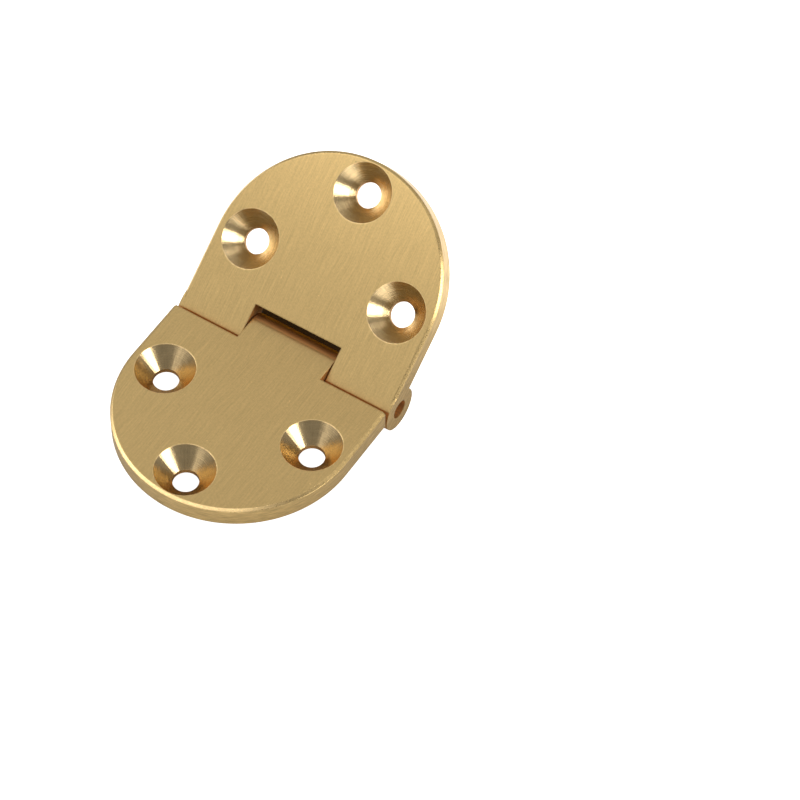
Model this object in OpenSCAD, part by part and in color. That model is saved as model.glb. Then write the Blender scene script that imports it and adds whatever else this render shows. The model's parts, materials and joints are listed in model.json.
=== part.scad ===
// Round-end flap hinge of solid brass: an eared leaf and a tongue leaf turning on one pin.
// Each leaf is drawn flat with the pin's axis along X, the leaf running out along +Y, its back
// on z = 0 and the countersunk face up, and is then turned into its place. The origin of the
// whole part is the end screw hole of the tongue leaf, on the leaf's back.

/* [Leaves] */
// Width of both leaves, and of the knuckle
leaf_w = 38; // [34:0.5:44]
// Thickness of both leaves, and radius of the knuckle that runs flush into their faces
leaf_t = 3.5; // [2.6:0.1:4.2]
// Eared leaf, from the pin's axis to the tip of its round end
eared_l = 31.8; // [31:0.1:44]
// Tongue leaf, from the pin's axis to the tip of its round end
tongue_l = 33.7; // [31:0.1:46]
// Chamfer along the outer edge of the countersunk face
face_chamfer = 0.4; // [0.1:0.05:0.45]
// Chamfer along the outer edge of the back
back_chamfer = 0.2; // [0.1:0.05:0.4]

/* [Knuckle] */
// Width of the tongue
tongue_w = 14.9; // [10:0.1:20]
// Gap on each side between the tongue and the ears
side_gap = 0.25; // [0.1:0.05:0.6]
// Gap between the ears and the shoulders of the tongue leaf that they pass
turn_gap = 0.3; // [0.1:0.05:0.6]
// Gap between the tongue's knuckle and the far wall of the notch
notch_gap = 0.95; // [0.4:0.05:2]
// How far the flat top of each ear reaches past the pin's axis
ear_lip = 0.95; // [0.4:0.05:1.6]

/* [Pin] */
// Diameter of the pin, which is tight in the ears
pin_d = 3; // [2:0.1:3.6]
// Running clearance round the pin in the tongue, on the radius
pin_clearance = 0.05; // [0.02:0.01:0.1]
// How far each end of the pin lies inside the side of its ear
pin_recess = 1.2; // [0:0.1:3]

/* [Screw holes] */
// Diameter of the hole under the countersink
screw_d = 4; // [3:0.1:4.8]
// Diameter of the countersink at the face
sink_d = 9.3; // [8:0.1:9.3]
// Length of straight hole left under the countersink
hole_land = 0.7; // [0.3:0.05:1.2]
// Distance between the two side holes of a leaf
side_hole_spacing = 26.2; // [24:0.1:27]
// Distance from the line of the side holes to the end hole
side_to_end = 13.75; // [13:0.05:16]
// Distance from the end hole to the tip of the round end
end_hole_in = 5.15; // [5.15:0.05:7]

/* [Pose] */
// How far the eared leaf stands up from flat
fold = 37; // [0:1:60]

/* [Hidden] */
$fn = 96;
// How far a cut reaches past the solid that it opens
cut = 1;
// How far the tongue's web lies inside its leaf, to be one solid with it
root_lap = 2;
brass = [0.76, 0.63, 0.40];
pin_brass = [0.60, 0.45, 0.28];
half_w = leaf_w / 2;
knuckle_r = leaf_t;
notch_w = tongue_w + 2 * side_gap;
notch_y = knuckle_r + notch_gap;
// The lip of an ear sweeps the largest circle that the tongue leaf's shoulders must clear
lip_r = norm([ear_lip, knuckle_r]);
shoulder_y = lip_r + turn_gap;
// Angle, off the leaf's normal, at which the ear's front leaves the lip and meets the round
lip_a = 2 * atan(ear_lip / knuckle_r);
pin_l = leaf_w - 2 * pin_recess;
// Where the pin's axis lies in the part's own frame
pin_y = tongue_l - end_hole_in;

// Cross-section of a leaf, wide along x and standing on its back: both outer edges chamfered
module leaf_section() {
    polygon([
        [-half_w + back_chamfer, 0],
        [half_w - back_chamfer, 0],
        [half_w, back_chamfer],
        [half_w, leaf_t - face_chamfer],
        [half_w - face_chamfer, leaf_t],
        [-half_w + face_chamfer, leaf_t],
        [-half_w, leaf_t - face_chamfer],
        [-half_w, back_chamfer]
    ]);
}

// Right half of the cross-section, which the round end is turned from
module half_section() {
    polygon([
        [0, 0],
        [half_w - back_chamfer, 0],
        [half_w, back_chamfer],
        [half_w, leaf_t - face_chamfer],
        [half_w - face_chamfer, leaf_t],
        [0, leaf_t]
    ]);
}

// Solid plate from root_y to its round end at end_y, before any hole is cut
module leaf_blank(root_y, end_y) {
    round_y = end_y - half_w;
    translate([0, round_y, 0])
        rotate([90, 0, 0])
            linear_extrude(height = round_y - root_y)
                leaf_section();
    translate([0, round_y, 0])
        rotate_extrude(angle = 180)
            half_section();
}

// One countersunk screw hole, centred on the origin's vertical
module screw_hole() {
    slope = (sink_d - screw_d) / 2 / (leaf_t - hole_land);
    translate([0, 0, -cut])
        cylinder(h = leaf_t + cut, d = screw_d);
    translate([0, 0, hole_land])
        cylinder(h = leaf_t - hole_land + cut, d1 = screw_d, d2 = sink_d + 2 * cut * slope);
}

// The three screw holes of a leaf whose round end is at end_y
module screw_holes(end_y) {
    end_hole_y = end_y - end_hole_in;
    for (side = [-1, 1])
        translate([side * side_hole_spacing / 2, end_hole_y - side_to_end, 0])
            screw_hole();
    translate([0, end_hole_y, 0])
        screw_hole();
}

// Turns a profile drawn in the leaf's side view into a bar along X, w wide about the middle
module bar_along_x(w) {
    translate([-w / 2, 0, 0])
        rotate([90, 0, 90])
            linear_extrude(height = w)
                children();
}

// Side view of an ear's knuckle: a round with a flat lip that reaches past the pin's axis
module ear_profile() {
    circle(r = knuckle_r);
    polygon([
        [0, 0],
        [0, knuckle_r],
        [-ear_lip, knuckle_r],
        [-knuckle_r * sin(lip_a), knuckle_r * cos(lip_a)]
    ]);
}

// Straight bore for the pin, right through the knuckle
module pin_bore(r) {
    translate([-half_w - cut, 0, 0])
        rotate([0, 90, 0])
            cylinder(h = leaf_w + 2 * cut, r = r);
}

// Notch between the ears, open towards the tongue leaf
module notch() {
    translate([-notch_w / 2, -2 * knuckle_r, -2 * knuckle_r])
        cube([notch_w, 2 * knuckle_r + notch_y, 4 * knuckle_r]);
}

module eared_leaf_flat() {
    difference() {
        union() {
            leaf_blank(0, eared_l);
            bar_along_x(leaf_w)
                ear_profile();
        }
        notch();
        screw_holes(eared_l);
        pin_bore(pin_d / 2);
    }
}

module tongue_leaf_flat() {
    difference() {
        union() {
            leaf_blank(shoulder_y, tongue_l);
            bar_along_x(tongue_w) {
                circle(r = knuckle_r);
                square([shoulder_y + root_lap, leaf_t]);
            }
        }
        screw_holes(tongue_l);
        pin_bore(pin_d / 2 + pin_clearance);
    }
}

module eared_leaf() {
    color(brass)
        translate([0, pin_y, 0])
            rotate([fold, 0, 0])
                eared_leaf_flat();
}

module tongue_leaf() {
    color(brass)
        translate([0, pin_y, 0])
            rotate([0, 0, 180])
                tongue_leaf_flat();
}

module hinge_pin() {
    color(pin_brass)
        translate([-pin_l / 2, pin_y, 0])
            rotate([0, 90, 0])
                cylinder(h = pin_l, d = pin_d);
}

eared_leaf();
tongue_leaf();
hinge_pin();
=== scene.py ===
"""Brass finishes, floor, lamps and camera for the round-end flap hinge."""
import json
import math

import bpy
from bpy.props import FloatProperty, FloatVectorProperty, PointerProperty
from mathutils import Euler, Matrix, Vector


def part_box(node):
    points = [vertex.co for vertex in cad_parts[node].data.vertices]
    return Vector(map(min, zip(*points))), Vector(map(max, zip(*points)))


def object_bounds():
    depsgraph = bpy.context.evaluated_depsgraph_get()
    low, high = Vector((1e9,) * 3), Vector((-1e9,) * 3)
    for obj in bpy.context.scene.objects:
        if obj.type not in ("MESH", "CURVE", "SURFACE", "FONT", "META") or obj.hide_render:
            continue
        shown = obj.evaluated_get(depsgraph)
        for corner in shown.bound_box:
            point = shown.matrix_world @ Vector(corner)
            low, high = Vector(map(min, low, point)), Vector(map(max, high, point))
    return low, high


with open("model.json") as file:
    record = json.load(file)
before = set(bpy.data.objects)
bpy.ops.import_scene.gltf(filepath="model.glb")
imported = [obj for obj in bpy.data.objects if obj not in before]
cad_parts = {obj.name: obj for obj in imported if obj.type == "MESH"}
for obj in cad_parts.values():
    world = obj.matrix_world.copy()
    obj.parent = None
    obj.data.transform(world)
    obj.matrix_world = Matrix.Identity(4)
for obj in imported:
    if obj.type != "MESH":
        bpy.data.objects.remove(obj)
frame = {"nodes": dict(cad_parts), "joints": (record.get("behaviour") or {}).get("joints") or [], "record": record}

bl_info = {
    "name": "Flap hinge in brushed brass",
    "version": (1, 0, 0),
    "blender": (4, 5, 0),
    "location": "View3D > Sidebar > Flap Hinge",
    "description": "Finishes a round-end flap hinge in brushed brass and sets its studio",
    "category": "Object",
}

CAD_BOX = [list(corner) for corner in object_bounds()]
MM = 1000.0

MOUNTS = {mount["name"]: mount for mount in frame["record"]["mounts"]}
PIN_AT = Vector(frame["joints"][0]["pos_m"])
EARED_UP = Vector(MOUNTS["eared_end_hole"]["axis"])
FOLD = math.atan2(-EARED_UP.y, EARED_UP.z)
EARED_TURN = Euler((-FOLD, 0.0, 0.0))
TONGUE_TURN = Euler((0.0, 0.0, math.pi))
HOLE_R = MOUNTS["tongue_end_hole"]["dims"]["r_mm"]
SIDE_HOLE_X = MOUNTS["tongue_side_holes"]["dims"]["pcd_mm"] / 2
HALF_W = 0.5 * MM * (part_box("tongue_leaf")[1][0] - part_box("tongue_leaf")[0][0])
LEAF_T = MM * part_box("tongue_leaf")[1][2]
# Sizes in millimetres that the record doesn't give
SINK_R = 4.65
CHAMFER_W = 0.4
NOTCH_REACH = 8.0
PIN_HOLE_REACH = 2.0
# Radius in millimetres that the light meets on the leaves' edges and on the countersinks'
EDGE_ROUND = 0.3
SINK_EDGE_ROUND = 0.1
# The middle band of a noise, which is spread over a whole range of shades
BAND = (0.3, 0.7)
# Tint of the countersinks where they are seen at a flat angle
SINK_GRAZING = (1.0, 0.74, 0.42, 1.0)

FLOOR_HALF = 3.0
# Painted shadow: a soft dark patch of the floor, seen through the slit behind the tongue, that stands in for the
# shade under the knuckle; its place and half sizes in metres
PAINTED_SHADOW_COLOUR = (0.05, 0.03, 0.015, 1.0)
PAINTED_SHADOW_X, PAINTED_SHADOW_BEHIND_PIN = -0.0015, 0.0075
PAINTED_SHADOW_HALF_X, PAINTED_SHADOW_HALF_Y = 0.0105, 0.0034
# Distances from the hinge, in metres, between which the floor starts to glow in reflections; nearer in, its glow
# is left out, a painted shade seen in the metal
GLOW_FROM, GLOW_FULL = 0.004, 0.020

LAMP_DISTANCE = 1.0
# Each soft lamp: azimuth and elevation in degrees, then width and height in metres
LAMPS = {
    "front": (-38.0, 42.0, 0.95, 0.75),
    "back": (-150.0, 42.0, 0.95, 0.95),
    "side": (97.0, 28.0, 0.45, 0.50),
    "left": (-92.0, 50.0, 0.50, 0.45),
    "top": (-60.0, 78.0, 0.65, 0.65),
    "rear": (147.0, 57.0, 0.42, 0.40),
}

SENSOR = 36.0
LENS = 157.5
CAMERA_AT = (0.18489, -0.23820, 0.41802)
CAMERA_TURN = (37.0752, -0.5235, 32.5590)


def along_leaf(mount, turn):
    """How far a mount lies from the pin's axis along its leaf, in millimetres."""
    return (turn.to_matrix() @ (Vector(MOUNTS[mount]["pos_m"]) - PIN_AT)).y * MM


class Leaf:
    """One leaf of the hinge with its own flat coordinates: x across, y out from the pin, z up."""

    def __init__(self, node, turn, end_hole, side_holes, painted_shading_ends):
        self.node = node
        self.turn = turn
        self.painted_shading_ends = painted_shading_ends
        self.end_hole_y = along_leaf(end_hole, turn)
        self.side_hole_y = along_leaf(side_holes, turn)
        points = [self.flat(v.co) for v in frame["nodes"][node].data.vertices]
        self.round_y = max(p.y for p in points) - HALF_W

    def flat(self, point):
        return (self.turn.to_matrix() @ (Vector(point) - PIN_AT)) * MM

    def flat_way(self, normal):
        return self.turn.to_matrix() @ Vector(normal)

    def hole_distance(self, point):
        side = math.hypot(abs(point.x) - SIDE_HOLE_X, point.y - self.side_hole_y)
        return min(side, math.hypot(point.x, point.y - self.end_hole_y))

    def edge_distance(self, point):
        """How far a point lies inside the leaf's outline."""
        if point.y > self.round_y:
            return HALF_W - math.hypot(point.x, point.y - self.round_y)
        return HALF_W - abs(point.x)


# Each leaf's painted light: the levels of its face's colour beside the pin and at its round end, a painted
# gradient for the fall of light along it
LEAVES = {
    "eared": Leaf("eared_leaf", EARED_TURN, "eared_end_hole", "eared_side_holes",
                  painted_shading_ends=(0.88, 1.24)),
    "tongue": Leaf("tongue_leaf", TONGUE_TURN, "tongue_end_hole", "tongue_side_holes",
                   painted_shading_ends=(0.89, 0.83)),
}


class BrassFinish(bpy.types.PropertyGroup):
    face_colour: FloatVectorProperty(
        name="Face colour", description="Brass of the brushed faces", subtype="COLOR",
        size=3, min=0.0, max=1.0, default=(0.70, 0.49, 0.205))
    # Partly a painted highlight: this lighter brass covers the tongue leaf's chamfers on one side only; it also
    # marks the worn rims round the countersinks
    edge_and_highlight_colour: FloatVectorProperty(
        name="Edge colour", description="Bright brass of the rubbed chamfers", subtype="COLOR",
        size=3, min=0.0, max=1.0, default=(0.98, 0.70, 0.33))
    rim_colour: FloatVectorProperty(
        name="Rim colour", description="Brass of the rims", subtype="COLOR",
        size=3, min=0.0, max=1.0, default=(0.56, 0.39, 0.16))
    sink_colour: FloatVectorProperty(
        name="Countersink colour", description="Brass of the turned countersinks",
        subtype="COLOR", size=3, min=0.0, max=1.0, default=(0.76, 0.56, 0.29))
    knuckle_colour: FloatVectorProperty(
        name="Knuckle colour", description="Duller brass round the pin and in the notch",
        subtype="COLOR", size=3, min=0.0, max=1.0, default=(0.62, 0.35, 0.13))
    pin_colour: FloatVectorProperty(
        name="Pin colour", description="Brass of the pin's ends", subtype="COLOR",
        size=3, min=0.0, max=1.0, default=(0.36, 0.19, 0.09))
    face_roughness: FloatProperty(
        name="Face roughness", description="Roughness of the brushed faces",
        min=0.05, max=1.0, default=0.40)
    sink_roughness: FloatProperty(
        name="Countersink roughness", description="Roughness of the turned countersinks",
        min=0.02, max=1.0, default=0.22)
    brush_width: FloatProperty(
        name="Brush line width", description="Width of one brush line on the faces",
        subtype="DISTANCE", unit="LENGTH", min=0.00005, max=0.001, default=0.00014)


class HingeStage(bpy.types.PropertyGroup):
    floor_colour: FloatVectorProperty(
        name="Floor colour", description="Colour of the floor", subtype="COLOR",
        size=3, min=0.0, max=1.0, default=(0.9, 0.9, 0.9))
    room_level: FloatProperty(
        name="Room level", description="Brightness of the plain room round the hinge",
        min=0.0, max=2.0, default=0.25)
    front_level: FloatProperty(
        name="Front lamp", description="Brightness of the large soft lamp at the front left",
        min=0.0, max=5.0, default=0.61)
    back_level: FloatProperty(
        name="Back lamp", description="Brightness of the large soft lamp at the back left",
        min=0.0, max=5.0, default=0.34)
    left_level: FloatProperty(
        name="Left lamp", description="Brightness of the soft lamp at the left",
        min=0.0, max=5.0, default=2.4)
    top_level: FloatProperty(
        name="Top lamp", description="Brightness of the soft lamp overhead",
        min=0.0, max=5.0, default=1.3)
    rear_level: FloatProperty(
        name="Rear lamp", description="Brightness of the soft lamp behind the hinge",
        min=0.0, max=5.0, default=1.1)
    side_level: FloatProperty(
        name="Side lamp", description="Brightness of the small lamp on the right",
        min=0.0, max=20.0, default=6.0)


def finish():
    return bpy.context.scene.hinge_finish


def stage():
    return bpy.context.scene.hinge_stage


def rgba(colour, level=1.0):
    return tuple(min(1.0, part * level) for part in colour) + (1.0,)


class Wiring:
    """Adds nodes to one tree and links them."""

    def __init__(self, tree):
        self.tree = tree

    def node(self, kind, **settings):
        made = self.tree.nodes.new(kind)
        for name, value in settings.items():
            setattr(made, name, value)
        return made

    def link(self, source, target):
        self.tree.links.new(source, target)

    def feed(self, value, socket):
        if isinstance(value, bpy.types.NodeSocket):
            self.link(value, socket)
        else:
            socket.default_value = value

    def math(self, kind, *values):
        made = self.node("ShaderNodeMath", operation=kind)
        for value, socket in zip(values, made.inputs):
            self.feed(value, socket)
        return made.outputs[0]

    def combine(self, x, y, z):
        made = self.node("ShaderNodeCombineXYZ")
        for value, socket in zip((x, y, z), made.inputs):
            self.feed(value, socket)
        return made.outputs[0]

    def split(self, vector):
        made = self.node("ShaderNodeSeparateXYZ")
        self.link(vector, made.inputs[0])
        return made.outputs

    def noise(self, vector, scale, detail=2.0, roughness=0.5):
        made = self.node("ShaderNodeTexNoise", noise_dimensions="3D")
        self.link(vector, made.inputs["Vector"])
        self.feed(scale, made.inputs["Scale"])
        made.inputs["Detail"].default_value = detail
        made.inputs["Roughness"].default_value = roughness
        return made.outputs["Fac"]

    def spread(self, value, low, high, to_low, to_high, kind="LINEAR"):
        made = self.node("ShaderNodeMapRange", interpolation_type=kind)
        for part, name in ((value, "Value"), (low, "From Min"), (high, "From Max"),
                           (to_low, "To Min"), (to_high, "To Max")):
            self.feed(part, made.inputs[name])
        return made.outputs["Result"]

    def blend(self, share, first, second):
        made = self.node("ShaderNodeMix", data_type="RGBA")
        self.feed(share, made.inputs["Factor"])
        self.feed(first, made.inputs["A"])
        self.feed(second, made.inputs["B"])
        return made.outputs["Result"]

    def tinted(self, colour, level):
        """The colour made lighter or darker by a level."""
        made = self.node("ShaderNodeVectorMath", operation="SCALE")
        self.link(colour, made.inputs[0])
        self.feed(level, made.inputs["Scale"])
        return made.outputs[0]

    def place(self, name, **inputs):
        """Places a node group with its own values."""
        made = self.node("ShaderNodeGroup")
        made.node_tree = bpy.data.node_groups[name]
        for key, value in inputs.items():
            self.feed(value, made.inputs[key.replace("_", " ")])
        return made.outputs


def new_group(name, inputs, outputs):
    tree = bpy.data.node_groups.new(name, "ShaderNodeTree")
    for label, kind, default in inputs:
        socket = tree.interface.new_socket(label, in_out="INPUT", socket_type=kind)
        if default is not None:
            socket.default_value = default
    for label, kind in outputs:
        tree.interface.new_socket(label, in_out="OUTPUT", socket_type=kind)
    wiring = Wiring(tree)
    return wiring, wiring.node("NodeGroupInput").outputs, wiring.node("NodeGroupOutput").inputs


def build_brush_grain():
    """Fine lines along y: one shade for the colour and one height for the bump."""
    w, given, out = new_group(
        "brush grain",
        [("Place", "NodeSocketVector", None), ("Line Width", "NodeSocketFloat", 0.2),
         ("Line Length", "NodeSocketFloat", 6.0)],
        [("Shade", "NodeSocketFloat"), ("Height", "NodeSocketFloat")])
    x, y, z = w.split(given["Place"])
    sway = w.math("MULTIPLY", w.noise(given["Place"], 0.12, 1.0), 1.2)
    across = w.math("DIVIDE", w.math("ADD", x, sway), given["Line Width"])
    along = w.math("DIVIDE", y, given["Line Length"])
    thick = w.math("DIVIDE", z, given["Line Width"])
    lines = w.noise(w.combine(across, along, thick), 1.0, 3.0, 0.6)
    broad = w.noise(w.combine(w.math("MULTIPLY", across, 0.22), along, thick), 1.0, 2.0)
    grit = w.noise(given["Place"], 3.2, 2.0, 0.7)
    strokes = w.math("ADD", w.math("MULTIPLY", lines, 0.5), w.math("MULTIPLY", broad, 0.15))
    w.link(w.math("ADD", strokes, w.math("MULTIPLY", grit, 0.35)), out["Shade"])
    w.link(w.math("ADD", w.math("MULTIPLY", lines, 0.7), w.math("MULTIPLY", grit, 0.3)),
           out["Height"])


def build_turned_rings():
    """Distance from the nearest screw hole's axis, with the rings and spokes of the cutter."""
    w, given, out = new_group(
        "turned rings",
        [("Place", "NodeSocketVector", None), ("End Hole", "NodeSocketFloat", 28.0),
         ("Side Holes", "NodeSocketFloat", 14.0), ("Side Reach", "NodeSocketFloat", 13.0),
         ("Pitch", "NodeSocketFloat", 0.16)],
        [("Radius", "NodeSocketFloat"), ("Height", "NodeSocketFloat"),
         ("Shade", "NodeSocketFloat")])
    x, y, z = w.split(given["Place"])

    def reach(dx, dy):
        return w.math("SQRT", w.math("ADD", w.math("MULTIPLY", dx, dx),
                                     w.math("MULTIPLY", dy, dy)))

    def either(share, first, second):
        return w.math("ADD", first, w.math("MULTIPLY", share, w.math("SUBTRACT", second, first)))

    side_x = w.math("SUBTRACT", x, w.math("MULTIPLY", w.math("SIGN", x), given["Side Reach"]))
    side_y = w.math("SUBTRACT", y, given["Side Holes"])
    end_y = w.math("SUBTRACT", y, given["End Hole"])
    at_end = w.math("LESS_THAN", reach(x, end_y), reach(side_x, side_y))
    across = either(at_end, side_x, x)
    along = either(at_end, side_y, end_y)
    radius = reach(across, along)
    w.link(radius, out["Radius"])
    drift = w.math("MULTIPLY", w.noise(given["Place"], 0.5, 1.0), 0.15)
    turn = w.math("DIVIDE", w.math("ADD", radius, drift), given["Pitch"])
    rings = w.noise(w.combine(turn, 0.0, 0.0), 1.0, 2.0, 0.6)
    hole = w.math("ADD", w.math("MULTIPLY", w.math("SIGN", x), 3.0),
                  w.math("MULTIPLY", at_end, 9.0))
    spokes = w.noise(w.combine(w.math("DIVIDE", across, radius), w.math("DIVIDE", along, radius),
                               w.math("ADD", w.math("MULTIPLY", radius, 0.05), hole)),
                     9.0, 2.0, 0.65)
    w.link(w.math("ADD", w.math("MULTIPLY", rings, 0.65), w.math("MULTIPLY", spokes, 0.35)),
           out["Height"])
    patches = w.noise(given["Place"], 0.9, 2.0)
    marks = w.math("ADD", w.math("MULTIPLY", rings, 0.3), w.math("MULTIPLY", spokes, 0.4))
    w.link(w.math("ADD", marks, w.math("MULTIPLY", patches, 0.3)), out["Shade"])


def build_specks():
    """Tiny pale and dark marks of handling."""
    w, given, out = new_group(
        "handling specks",
        [("Place", "NodeSocketVector", None), ("Scale", "NodeSocketFloat", 1.6),
         ("Amount", "NodeSocketFloat", 0.5)],
        [("Pale", "NodeSocketFloat"), ("Dark", "NodeSocketFloat")])
    for name, shift in (("Pale", 0.0), ("Dark", 37.0)):
        moved = w.node("ShaderNodeVectorMath", operation="ADD")
        w.link(given["Place"], moved.inputs[0])
        moved.inputs[1].default_value = (shift, shift, shift)
        dots = w.noise(moved.outputs[0], given["Scale"], 2.0, 0.7)
        w.link(w.math("MULTIPLY", w.spread(dots, 0.70, 0.78, 0.0, 1.0), given["Amount"]),
               out[name])


def build_edge_wear():
    """A thin worn line where a radius passes a sharp edge."""
    w, given, out = new_group(
        "edge wear",
        [("Place", "NodeSocketVector", None), ("Radius", "NodeSocketFloat", 0.0),
         ("Edge", "NodeSocketFloat", 4.7), ("Width", "NodeSocketFloat", 0.15)],
        [("Worn", "NodeSocketFloat")])
    off = w.math("ABSOLUTE", w.math("SUBTRACT", given["Radius"], given["Edge"]))
    line = w.spread(off, 0.0, given["Width"], 1.0, 0.0)
    ragged = w.spread(w.noise(given["Place"], 2.2, 2.0), 0.35, 0.6, 0.2, 1.0)
    w.link(w.math("MULTIPLY", line, ragged), out["Worn"])


def clean_material(name):
    material = bpy.data.materials.new(name)
    material.use_nodes = True
    material.node_tree.nodes.clear()
    w = Wiring(material.node_tree)
    shader = w.node("ShaderNodeBsdfPrincipled")
    shader.inputs["Metallic"].default_value = 1.0
    w.link(shader.outputs["BSDF"], w.node("ShaderNodeOutputMaterial").inputs["Surface"])
    return material, w, shader


def leaf_place(w, leaf):
    """The leaf's own flat coordinates in millimetres, whichever way the leaf is turned."""
    made = w.node("ShaderNodeMapping", vector_type="POINT")
    w.link(w.node("ShaderNodeTexCoord").outputs["Object"], made.inputs["Vector"])
    made.inputs["Rotation"].default_value = leaf.turn
    made.inputs["Scale"].default_value = (MM, MM, MM)
    made.inputs["Location"].default_value = -(leaf.turn.to_matrix() @ PIN_AT) * MM
    return made.outputs["Vector"]


def bump(w, shader, height, depth_mm, round_mm=0.0, eased_to=None):
    """Raises the surface by a height, over edges that are rounded to a radius.

    A filed edge is eased half way towards the face that it borders.
    """
    made = w.node("ShaderNodeBump")
    made.inputs["Strength"].default_value = 1.0
    made.inputs["Distance"].default_value = depth_mm / MM
    w.link(height, made.inputs["Height"])
    if round_mm:
        edge = w.node("ShaderNodeBevel", samples=4)
        edge.inputs["Radius"].default_value = round_mm / MM
        way = edge.outputs["Normal"]
        if eased_to:
            turned = w.node("ShaderNodeVectorTransform", vector_type="NORMAL",
                            convert_from="OBJECT", convert_to="WORLD")
            turned.inputs[0].default_value = eased_to
            both = w.node("ShaderNodeVectorMath", operation="ADD")
            w.link(way, both.inputs[0])
            w.link(turned.outputs[0], both.inputs[1])
            even = w.node("ShaderNodeVectorMath", operation="NORMALIZE")
            w.link(both.outputs[0], even.inputs[0])
            way = even.outputs[0]
        w.link(way, made.inputs["Normal"])
    w.link(made.outputs["Normal"], shader.inputs["Normal"])


def rings_of(w, leaf, place):
    return w.place("turned rings", Place=place, End_Hole=leaf.end_hole_y,
                   Side_Holes=leaf.side_hole_y, Side_Reach=SIDE_HOLE_X)


def brushed_face(key):
    leaf = LEAVES[key]
    material, w, shader = clean_material(key + " brushed face")
    place = leaf_place(w, leaf)
    grain = w.place("brush grain", Place=place, Line_Width=finish().brush_width * MM)
    specks = w.place("handling specks", Place=place, Scale=2.2, Amount=0.8)
    rings = rings_of(w, leaf, place)
    wear = w.place("edge wear", Place=place, Radius=rings["Radius"], Edge=SINK_R)
    shade = w.spread(grain["Shade"], *BAND, 0.0, 1.0)
    colour = w.blend(shade, rgba(finish().face_colour, 0.80), rgba(finish().face_colour, 1.19))
    x, y, z = w.split(place)
    # Painted light: the face is made lighter or darker along the leaf, from the pin to its round end
    out_along = w.spread(y, 0.0, leaf.round_y + HALF_W, 0.0, 1.0)
    painted_falloff = w.spread(w.math("POWER", out_along, 2.2), 0.0, 1.0, *leaf.painted_shading_ends)
    colour = w.tinted(colour, painted_falloff)
    colour = w.blend(specks["Dark"], colour, rgba(finish().face_colour, 0.62))
    colour = w.blend(specks["Pale"], colour, rgba(finish().face_colour, 1.35))
    colour = w.blend(wear["Worn"], colour, rgba(finish().edge_and_highlight_colour))
    w.link(colour, shader.inputs["Base Color"])
    rough = finish().face_roughness
    w.link(w.spread(grain["Shade"], *BAND, rough + 0.05, rough - 0.05),
           shader.inputs["Roughness"])
    bump(w, shader, grain["Height"], 0.006, EDGE_ROUND)
    return material


def streaked(key, name, colour, roughness, stretch, depth_mm, contrast=0.12, round_mm=0.0,
             rubbed_and_highlit=None, painted_slit_shade=False, eased=False):
    """Streaks that run round the leaf's edge or along the knuckle.

    They can be worn to a lighter colour, except near the side with negative x, which is partly a painted
    highlight, and the upper far side of a knuckle can be darkened with painted shade, as in the slit's shadow.
    """
    leaf = LEAVES[key]
    material, w, shader = clean_material(key + " " + name)
    place = leaf_place(w, leaf)
    x, y, z = w.split(place)
    stretched = w.combine(*(w.math("MULTIPLY", *pair) for pair in zip((x, y, z), stretch)))
    lines = w.noise(stretched, 1.0, 3.0, 0.6)
    specks = w.place("handling specks", Place=place)
    shade = w.spread(lines, *BAND, 0.0, 1.0)
    tint = w.blend(shade, rgba(colour, 1.0 - contrast), rgba(colour, 1.0 + contrast))
    # Partly a painted highlight: the chamfer is lighter except near the side with negative x
    if rubbed_and_highlit:
        rubbed_highlight = w.blend(shade, rgba(rubbed_and_highlit, 1.0 - contrast), rgba(rubbed_and_highlit))
        ragged = w.math("MULTIPLY", w.noise(place, 0.9, 2.0), 6.0)
        tint = w.blend(w.spread(w.math("ADD", x, ragged), -16.0, -8.0, 0.0, 1.0), tint, rubbed_highlight)
    if painted_slit_shade:
        # Painted shade: the knuckle's upper far side, in the slit, is darkened down to 0.06 of its colour, and the
        # rest is lifted to 1.2
        hidden = w.spread(y, -LEAF_T, 0.2, 1.0, 0.0, "SMOOTHSTEP")
        upper = w.spread(z, -1.5, 0.5, 0.0, 1.0, "SMOOTHSTEP")
        tint = w.tinted(tint, w.spread(w.math("MULTIPLY", hidden, upper), 0.0, 1.0, 1.2, 0.06))
        shader.inputs["Specular Tint"].default_value = rgba(colour)
    tint = w.blend(specks["Dark"], tint, rgba(colour, 0.6))
    w.link(tint, shader.inputs["Base Color"])
    w.link(w.spread(lines, *BAND, roughness + 0.06, roughness - 0.06),
           shader.inputs["Roughness"])
    face_way = leaf.turn.to_matrix().transposed() @ Vector((0.0, 0.0, 1.0))
    bump(w, shader, lines, depth_mm, round_mm, face_way if eased else None)
    return material


def countersink(key):
    leaf = LEAVES[key]
    material, w, shader = clean_material(key + " countersink")
    place = leaf_place(w, leaf)
    rings = rings_of(w, leaf, place)
    shader.inputs["Specular Tint"].default_value = SINK_GRAZING
    shade = w.spread(rings["Shade"], 0.35, 0.65, 0.0, 1.0)
    colour = w.blend(shade, rgba(finish().sink_colour, 0.76), rgba(finish().sink_colour, 1.12))
    wear = w.place("edge wear", Place=place, Radius=rings["Radius"], Edge=SINK_R, Width=0.1)
    colour = w.blend(wear["Worn"], colour, rgba(finish().edge_and_highlight_colour))
    w.link(colour, shader.inputs["Base Color"])
    rough = finish().sink_roughness
    w.link(w.spread(rings["Shade"], *BAND, rough + 0.06, rough - 0.05),
           shader.inputs["Roughness"])
    bump(w, shader, rings["Height"], 0.035, SINK_EDGE_ROUND)
    return material


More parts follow.
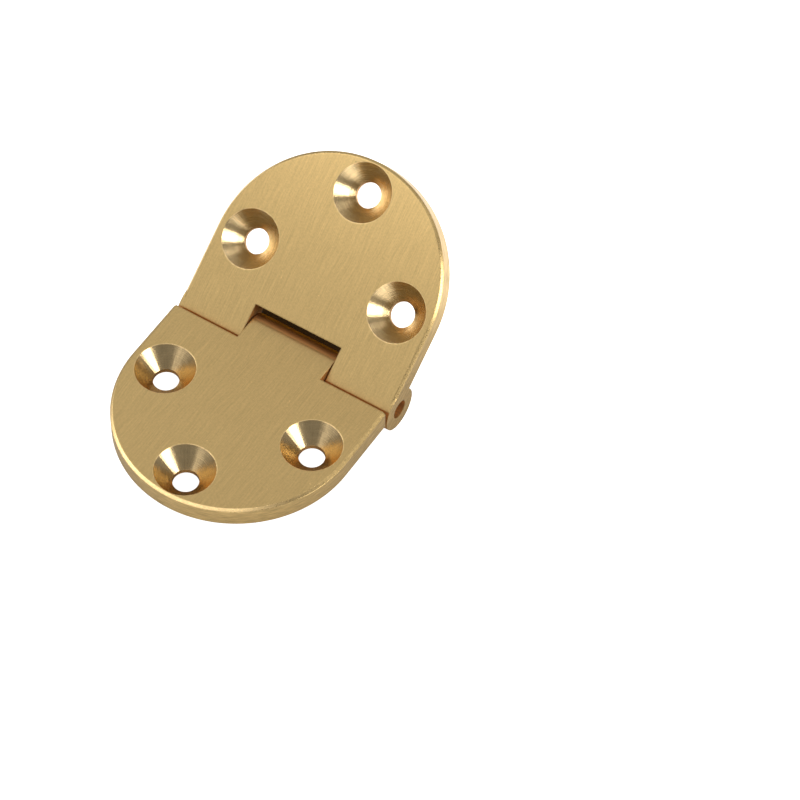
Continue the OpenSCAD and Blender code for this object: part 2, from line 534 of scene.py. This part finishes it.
def leaf_materials(key):
    """The finishes of a leaf, in the order of their indices; the tongue leaf's chamfer is worn more, with a
    lighter colour that is partly a painted highlight.
    """
    f = finish()
    rubbed_and_highlit_more = key == "tongue"
    return [
        brushed_face(key),
        streaked(key, "rim", f.rim_colour, roughness=0.38, stretch=(0.5, 0.5, 5.0),
                 depth_mm=0.010, contrast=0.25, round_mm=EDGE_ROUND),
        streaked(key, "chamfer", f.rim_colour, roughness=0.30, stretch=(3.5, 3.5, 3.5),
                 depth_mm=0.012 if rubbed_and_highlit_more else 0.004, contrast=0.2, round_mm=EDGE_ROUND,
                 rubbed_and_highlit=f.edge_and_highlight_colour if rubbed_and_highlit_more else f.face_colour, eased=rubbed_and_highlit_more),
        countersink(key),
        streaked(key, "bore", f.knuckle_colour, roughness=0.35, stretch=(0.6, 0.6, 6.0),
                 depth_mm=0.004),
        streaked(key, "knuckle", f.knuckle_colour, roughness=0.60, stretch=(0.3, 4.0, 4.0),
                 depth_mm=0.005, painted_slit_shade=key == "tongue"),
    ]


FACE, RIM, CHAMFER, SINK, BORE, KNUCKLE = range(6)


def finish_of(leaf, middle, way):
    """Which finish a small face of a leaf has, from where it lies and the way it looks."""
    from_hole = leaf.hole_distance(middle)
    if from_hole < HOLE_R + 0.05 and abs(way.z) < 0.1:
        return BORE
    if from_hole < SINK_R and 0.2 < way.z < 0.97:
        return SINK
    if abs(way.z) > 0.99 and middle.z > -0.05:
        return FACE
    edge = leaf.edge_distance(middle)
    if edge < CHAMFER_W and 0.3 < abs(way.z) < 0.95 and abs(way.x) + abs(way.y) > 0.3:
        if middle.y > 0.0 and (middle.z > LEAF_T - CHAMFER_W or middle.z < 0.3):
            return CHAMFER
    if edge < 0.05 and abs(way.z) < 0.3:
        return RIM
    inside = abs(middle.x) < NOTCH_REACH or math.hypot(middle.y, middle.z) < PIN_HOLE_REACH
    at_seam = way.y < -0.3 and middle.z > -0.5
    return KNUCKLE if inside or at_seam else RIM


def dress_leaf(key):
    leaf = LEAVES[key]
    body = frame["nodes"][leaf.node]
    mesh = body.data
    mesh.materials.clear()
    for material in leaf_materials(key):
        mesh.materials.append(material)
    for face in mesh.polygons:
        face.material_index = finish_of(leaf, leaf.flat(face.center), leaf.flat_way(face.normal))


def soft_lamp(name, azimuth, elevation, width, height, level):
    """A flat lamp that looks at the hinge, as bright as a card of that level."""
    data = bpy.data.lights.new(name, "AREA")
    data.shape = "RECTANGLE"
    data.size = width
    data.size_y = height
    data.energy = level * math.pi * width * height
    lamp = bpy.data.objects.new(name, data)
    bpy.context.scene.collection.objects.link(lamp)
    a, e = math.radians(azimuth), math.radians(elevation)
    way = Vector((math.sin(a) * math.cos(e), -math.cos(a) * math.cos(e), math.sin(e)))
    lamp.location = PIN_AT + way * LAMP_DISTANCE
    lamp.rotation_euler = way.to_track_quat("Z", "Y").to_euler()


class HINGE_OT_finish_groups(bpy.types.Operator):
    """Build the node groups that the brass finishes share"""
    bl_idname = "hinge.finish_groups"
    bl_label = "Shared finishes"

    def execute(self, context):
        build_brush_grain()
        build_turned_rings()
        build_specks()
        build_edge_wear()
        return {"FINISHED"}


class HINGE_OT_eared_leaf(bpy.types.Operator):
    """Finish the eared leaf"""
    bl_idname = "hinge.eared_leaf"
    bl_label = "Eared leaf"

    def execute(self, context):
        dress_leaf("eared")
        return {"FINISHED"}


class HINGE_OT_tongue_leaf(bpy.types.Operator):
    """Finish the tongue leaf"""
    bl_idname = "hinge.tongue_leaf"
    bl_label = "Tongue leaf"

    def execute(self, context):
        dress_leaf("tongue")
        return {"FINISHED"}


class HINGE_OT_hinge_pin(bpy.types.Operator):
    """Finish the pin"""
    bl_idname = "hinge.hinge_pin"
    bl_label = "Hinge pin"

    def execute(self, context):
        body = frame["nodes"]["hinge_pin"]
        body.data.materials.clear()
        colour = finish().pin_colour
        body.data.materials.append(
            streaked("tongue", "pin", colour, roughness=0.45, stretch=(1.0, 2.0, 2.0),
                     depth_mm=0.010, contrast=0.2))
        return {"FINISHED"}


class HINGE_OT_stage(bpy.types.Operator):
    """Lay the floor and set the room, the lamps and the camera"""
    bl_idname = "hinge.stage"
    bl_label = "Stage"

    def execute(self, context):
        lay_floor()
        light_room()
        set_camera()
        return {"FINISHED"}


def lay_floor():
    low = min(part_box(node)[0][2] for node in frame["nodes"])
    mesh = bpy.data.meshes.new("floor")
    corners = [(x * FLOOR_HALF, y * FLOOR_HALF, low)
               for x, y in ((-1, -1), (1, -1), (1, 1), (-1, 1))]
    mesh.from_pydata(corners, [], [(0, 1, 2, 3)])
    floor = bpy.data.objects.new("floor", mesh)
    bpy.context.scene.collection.objects.link(floor)
    mesh.materials.append(floor_material())


def outside_painted_shadow(w, x, y):
    """0 in the painted shadow, the soft dark patch behind the knuckle, 1 on the rest of the floor."""
    aside = w.math("DIVIDE", w.math("SUBTRACT", x, PAINTED_SHADOW_X), PAINTED_SHADOW_HALF_X)
    behind = w.math("DIVIDE", w.math("SUBTRACT", y, PIN_AT.y + PAINTED_SHADOW_BEHIND_PIN), PAINTED_SHADOW_HALF_Y)
    off = w.math("ADD", w.math("POWER", w.math("ABSOLUTE", aside), 4.0),
                 w.math("POWER", w.math("ABSOLUTE", behind), 2.0))
    return w.spread(off, 0.5, 1.6, 0.0, 1.0, "SMOOTHSTEP")


def clear_of_painted_shade(w, x, y):
    """Painted shade in reflections: 0 under the hinge and close beside it, 1 further out."""
    (low_x, low_y), (high_x, high_y) = [corner[:2] for corner in CAD_BOX]
    round_r = 0.5 * (high_x - low_x)
    middle = 0.5 * (low_y + high_y)
    beyond = w.math("SUBTRACT", w.math("ABSOLUTE", w.math("SUBTRACT", y, middle)),
                    0.5 * (high_y - low_y) - round_r)
    beyond = w.math("MAXIMUM", beyond, 0.0)
    reach = w.math("SQRT", w.math("ADD", w.math("MULTIPLY", x, x),
                                  w.math("MULTIPLY", beyond, beyond)))
    return w.spread(reach, round_r + GLOW_FROM, round_r + GLOW_FULL, 0.0, 1.0, "SMOOTHSTEP")


def floor_material():
    """Matt white that glows for the camera and in reflections, but lights nothing itself."""
    material = bpy.data.materials.new("white floor")
    material.use_nodes = True
    material.node_tree.nodes.clear()
    w = Wiring(material.node_tree)
    rays = w.node("ShaderNodeLightPath").outputs
    x, y, z = w.split(w.node("ShaderNodeTexCoord").outputs["Object"])
    # Painted shadow: in the patch behind the knuckle the floor is dark and doesn't glow
    beyond_painted_shadow = outside_painted_shadow(w, x, y)
    mirrored = w.math("MAXIMUM", rays["Is Glossy Ray"], rays["Is Transmission Ray"])
    # Painted shade: in reflections the floor doesn't glow under and beside the hinge
    seen = w.math("MAXIMUM", rays["Is Camera Ray"],
                  w.math("MULTIPLY", mirrored, clear_of_painted_shade(w, x, y)))
    matt = w.node("ShaderNodeBsdfDiffuse")
    w.link(w.blend(beyond_painted_shadow, PAINTED_SHADOW_COLOUR, rgba(stage().floor_colour)), matt.inputs["Color"])
    glow = w.node("ShaderNodeEmission")
    w.link(w.math("MULTIPLY", seen, beyond_painted_shadow), glow.inputs["Strength"])
    both = w.node("ShaderNodeAddShader")
    w.link(matt.outputs[0], both.inputs[0])
    w.link(glow.outputs[0], both.inputs[1])
    w.link(both.outputs[0], w.node("ShaderNodeOutputMaterial").inputs["Surface"])
    return material


def light_room():
    world = bpy.data.worlds.new("room")
    bpy.context.scene.world = world
    world.use_nodes = True
    world.node_tree.nodes.clear()
    w = Wiring(world.node_tree)
    back = w.node("ShaderNodeBackground")
    back.inputs["Color"].default_value = (1.0, 1.0, 1.0, 1.0)
    back.inputs["Strength"].default_value = stage().room_level
    w.link(back.outputs[0], w.node("ShaderNodeOutputWorld").inputs["Surface"])
    for name, placing in LAMPS.items():
        soft_lamp(name + " lamp", *placing, getattr(stage(), name + "_level"))


def set_camera():
    data = bpy.data.cameras.new("camera")
    data.sensor_width = SENSOR
    data.lens = LENS
    data.clip_start = 0.01
    camera = bpy.data.objects.new("camera", data)
    camera.location = CAMERA_AT
    camera.rotation_euler = [math.radians(angle) for angle in CAMERA_TURN]
    bpy.context.scene.collection.objects.link(camera)
    bpy.context.scene.camera = camera
    bpy.context.scene.view_settings.view_transform = "Standard"


STEPS = ("finish_groups", "eared_leaf", "tongue_leaf", "hinge_pin", "stage")


class HINGE_PT_panel(bpy.types.Panel):
    """Sizes, colours and steps of the flap hinge"""
    bl_idname = "HINGE_PT_panel"
    bl_label = "Flap Hinge"
    bl_space_type = "VIEW_3D"
    bl_region_type = "UI"
    bl_category = "Flap Hinge"

    def draw(self, context):
        for settings in (context.scene.hinge_finish, context.scene.hinge_stage):
            for name in settings.__annotations__:
                self.layout.prop(settings, name)
        for step in STEPS:
            self.layout.operator("hinge." + step)


CLASSES = (BrassFinish, HingeStage, HINGE_OT_finish_groups, HINGE_OT_eared_leaf,
           HINGE_OT_tongue_leaf, HINGE_OT_hinge_pin, HINGE_OT_stage, HINGE_PT_panel)


def register():
    for kind in CLASSES:
        bpy.utils.register_class(kind)
    bpy.types.Scene.hinge_finish = PointerProperty(type=BrassFinish)
    bpy.types.Scene.hinge_stage = PointerProperty(type=HingeStage)


def unregister():
    del bpy.types.Scene.hinge_stage
    del bpy.types.Scene.hinge_finish
    for kind in reversed(CLASSES):
        bpy.utils.unregister_class(kind)


def main():
    register()
    for step in STEPS:
        getattr(bpy.ops.hinge, step)()


if __name__ == "__main__":
    main()
